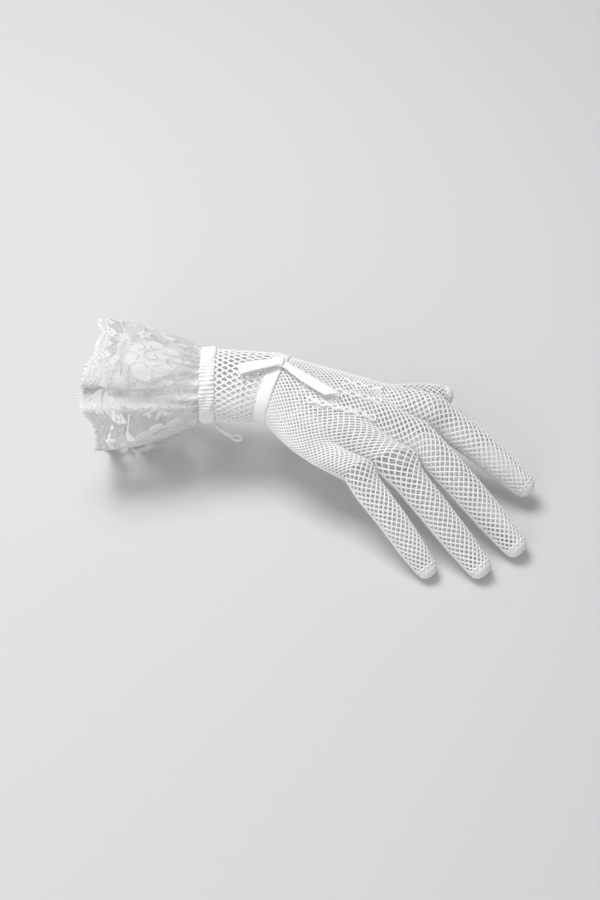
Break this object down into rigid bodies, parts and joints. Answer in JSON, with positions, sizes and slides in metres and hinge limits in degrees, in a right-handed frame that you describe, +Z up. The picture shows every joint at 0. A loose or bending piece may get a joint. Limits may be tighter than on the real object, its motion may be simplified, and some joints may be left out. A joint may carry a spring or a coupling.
{
  "type": "lace wedding glove",
  "caption": "Right-hand openwork wedding glove with knitted net fingers that flex, a net wrist, a satin band with a flat bow, and a gathered lace ruffle cuff.",
  "frame": {"origin": "on the table, under the middle of the glove's box", "axes": "+X from the ruffle towards the fingers, +Y towards the thumb side, +Z up"},
  "size_m": [0.2359, 0.1315, 0.0745],
  "materials": {
    "net": "matte open knit",
    "tip_knit": "dense matte knit",
    "lace": "fine tulle with raised clothwork",
    "heading": "gathered woven tape",
    "satin": "soft satin sheen",
    "elastic": "covered elastic",
    "stitching": "raised cotton stitches"
  },
  "bodies": {
    "hand": {"back_panel": "net", "palm_panel": "net", "wrist_net": "net", "wrist_elastic": "elastic", "wrist_band": "satin", "heading_elastic": "elastic", "ruffle_heading": "heading", "lace_ruffle": "lace", "scalloped_edge": "lace", "bow_knot": "satin", "bow_loop": "satin", "bow_tail": "satin", "dorsal_point_far": "stitching", "dorsal_point_middle": "stitching", "dorsal_point_near": "stitching", "seam_end": "stitching", "thumb_knuckle_fold": "net", "index_knuckle_fold": "net", "middle_knuckle_fold": "net", "ring_knuckle_fold": "net", "little_knuckle_fold": "net"},
    "thumb_lower": {"thumb_lower_sleeve": "net", "thumb_joint_fold": "net"},
    "thumb_upper": {"thumb_upper_sleeve": "net", "thumb_tip_cap": "tip_knit"},
    "index_lower": {"index_lower_sleeve": "net", "index_joint_fold": "net"},
    "index_upper": {"index_upper_sleeve": "net", "index_tip_cap": "tip_knit"},
    "middle_lower": {"middle_lower_sleeve": "net", "middle_joint_fold": "net"},
    "middle_upper": {"middle_upper_sleeve": "net", "middle_tip_cap": "tip_knit"},
    "ring_lower": {"ring_lower_sleeve": "net", "ring_joint_fold": "net"},
    "ring_upper": {"ring_upper_sleeve": "net", "ring_tip_cap": "tip_knit"},
    "little_lower": {"little_lower_sleeve": "net", "little_joint_fold": "net"},
    "little_upper": {"little_upper_sleeve": "net", "little_tip_cap": "tip_knit"}
  },
  "joints": [
    {"name": "thumb_knuckle", "type": "hinge", "parent": "hand", "child": "thumb_lower", "pos_m": [0.03313, 0.04519, 0.01766], "axis": [-0.0971, 0.1616, -0.9821], "range_deg": [-20, 10], "deforming": ["thumb_knuckle_fold"]},
    {"name": "thumb_joint", "type": "hinge", "parent": "thumb_lower", "child": "thumb_upper", "pos_m": [0.05575, 0.049, 0.01605], "axis": [-0.0971, 0.1616, -0.9821], "range_deg": [-5, 40], "deforming": ["thumb_joint_fold"]},
    {"name": "index_knuckle", "type": "hinge", "parent": "hand", "child": "index_lower", "pos_m": [0.0638, 0.02004, 0.03628], "axis": [0.5625, 0.8187, 0.1155], "range_deg": [-15, 50], "deforming": ["index_knuckle_fold"]},
    {"name": "index_joint", "type": "hinge", "parent": "index_lower", "child": "index_upper", "pos_m": [0.08933, 0.00401, 0.02557], "axis": [0.5625, 0.8187, 0.1155], "range_deg": [-5, 65], "deforming": ["index_joint_fold"]},
    {"name": "middle_knuckle", "type": "hinge", "parent": "hand", "child": "middle_lower", "pos_m": [0.05781, 0.00004, 0.03513], "axis": [0.7218, 0.6868, 0.0853], "range_deg": [-15, 50], "deforming": ["middle_knuckle_fold"]},
    {"name": "middle_joint", "type": "hinge", "parent": "middle_lower", "child": "middle_upper", "pos_m": [0.08167, -0.02337, 0.02176], "axis": [0.7218, 0.6868, 0.0853], "range_deg": [-5, 65], "deforming": ["middle_joint_fold"]},
    {"name": "ring_knuckle", "type": "hinge", "parent": "hand", "child": "ring_lower", "pos_m": [0.04424, -0.01329, 0.03295], "axis": [0.7626, 0.6424, 0.0758], "range_deg": [-15, 50], "deforming": ["ring_knuckle_fold"]},
    {"name": "ring_joint", "type": "hinge", "parent": "ring_lower", "child": "ring_upper", "pos_m": [0.06516, -0.03654, 0.01961], "axis": [0.7626, 0.6424, 0.0758], "range_deg": [-5, 65], "deforming": ["ring_joint_fold"]},
    {"name": "little_knuckle", "type": "hinge", "parent": "hand", "child": "little_lower", "pos_m": [0.02315, -0.0179, 0.03161], "axis": [0.7793, 0.6226, 0.0716], "range_deg": [-15, 50], "deforming": ["little_knuckle_fold"]},
    {"name": "little_joint", "type": "hinge", "parent": "little_lower", "child": "little_upper", "pos_m": [0.04231, -0.04049, 0.0195], "axis": [0.7793, 0.6226, 0.0716], "range_deg": [-5, 65], "deforming": ["little_joint_fold"]}
  ]
}
